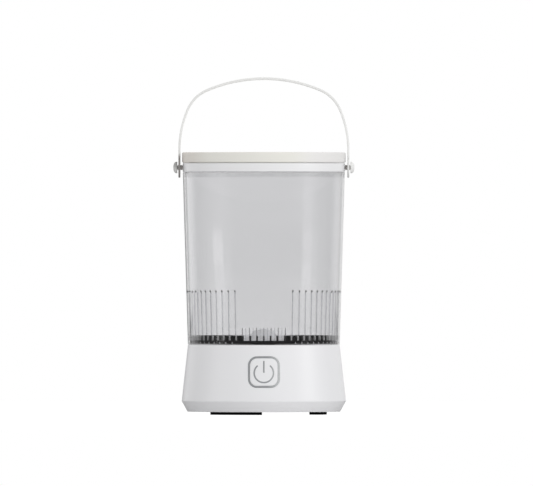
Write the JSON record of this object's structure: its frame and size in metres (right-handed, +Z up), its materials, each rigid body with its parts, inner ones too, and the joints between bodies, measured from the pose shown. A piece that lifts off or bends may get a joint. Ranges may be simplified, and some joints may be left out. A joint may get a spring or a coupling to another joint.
{
  "type": "portable mini washer",
  "caption": "Small bucket-type washing machine: round motor base with a power button, clear ribbed tub with a pulsator, lift-off lid and a swinging bail handle.",
  "frame": {"origin": "on the floor, at the centre of the tub's vertical axis", "axes": "+Z up along the tub's axis, -Y towards the user: the power button is on the -Y side, +X to the user's right"},
  "size_m": [0.1812, 0.1642, 0.3372],
  "materials": {
    "shell_white": "moulded white plastic with a soft sheen",
    "rim_white": "moulded white plastic with a soft sheen",
    "lid_cream": "warm off-white plastic, satin",
    "handle_white": "light grey-white plastic, satin",
    "tub_clear": "clear plastic, polished, with a faint grey tint",
    "black_rubber": "matt black rubber",
    "seal_silicone": "translucent light grey silicone",
    "trim_grey": "mid-grey plastic inlay, satin",
    "drum_grey": "light grey moulded plastic",
    "steel": "plain bright steel",
    "pinion_brass": "cut brass",
    "board_green": "green solder resist",
    "dark_plastic": "black moulded plastic",
    "lead_red": "dark red lead insulation",
    "lead_black": "black lead insulation"
  },
  "bodies": {
    "base": {"base_shell": "shell_white", "bottom_cover": "shell_white", "foot_right": "black_rubber", "foot_back_left": "black_rubber", "foot_front_left": "black_rubber", "cover_screw_1": "steel", "cover_screw_2": "steel", "cover_screw_3": "steel", "button_bezel": "trim_grey", "control_board": "board_green", "tact_switch": "dark_plastic", "board_screw_left": "steel", "board_screw_right": "steel", "motor_can": "steel", "motor_end_bell": "dark_plastic", "motor_bracket": "steel", "bracket_screw_1": "steel", "bracket_screw_2": "steel", "bracket_screw_3": "steel", "bracket_screw_4": "steel", "motor_screw_left": "steel", "motor_screw_right": "steel", "bearing_housing": "dark_plastic", "housing_screw_1": "steel", "housing_screw_2": "steel", "housing_screw_3": "steel", "lower_bearing": "steel", "upper_bearing": "steel", "shaft_seal": "black_rubber", "tub": "tub_clear", "tub_gasket": "black_rubber", "rim_collar": "rim_white", "pivot_pin_right": "steel", "pivot_pin_left": "steel", "pivot_cap_right": "handle_white", "pivot_cap_left": "handle_white", "dc_inlet": "dark_plastic", "supply_lead": "lead_red", "motor_lead": "lead_black"},
    "handle": {"handle_strap": "handle_white"},
    "lid": {"lid_cover": "lid_cream", "lid_plug": "rim_white", "lid_seal": "seal_silicone"},
    "button": {"power_button": "shell_white", "symbol_arc": "trim_grey", "symbol_bar": "trim_grey"},
    "pulsator": {"pulsator": "drum_grey", "pulsator_screw": "steel", "pulsator_cap": "drum_grey", "drive_shaft": "steel", "drive_gear": "drum_grey"},
    "rotor": {"motor_rotor": "steel", "motor_pinion": "pinion_brass"}
  },
  "joints": [
    {"name": "handle_swing", "type": "hinge", "parent": "base", "child": "handle", "pos_m": [0, 0, 0.247], "axis": [1, 0, 0], "range_deg": [-105, 105]},
    {"name": "lid_lift", "type": "slide", "parent": "base", "child": "lid", "axis": [0, 0, 1], "range_m": [0, 0.012]},
    {"name": "button_press", "type": "slide", "parent": "base", "child": "button", "axis": [0, 0.9937, -0.1119], "range_m": [0, 0.001], "stiffness_N_per_m": 600},
    {"name": "pulsator_spin", "type": "hinge", "parent": "base", "child": "pulsator", "pos_m": [0, 0, 0.075], "axis": [0, 0, 1], "continuous": true},
    {"name": "motor_spin", "type": "hinge", "parent": "base", "child": "rotor", "pos_m": [0, 0.035, 0.03], "axis": [0, 0, 1], "continuous": true}
  ],
  "couplings": [
    {"joint": "motor_spin", "follows": "pulsator_spin", "ratio": -3}
  ]
}
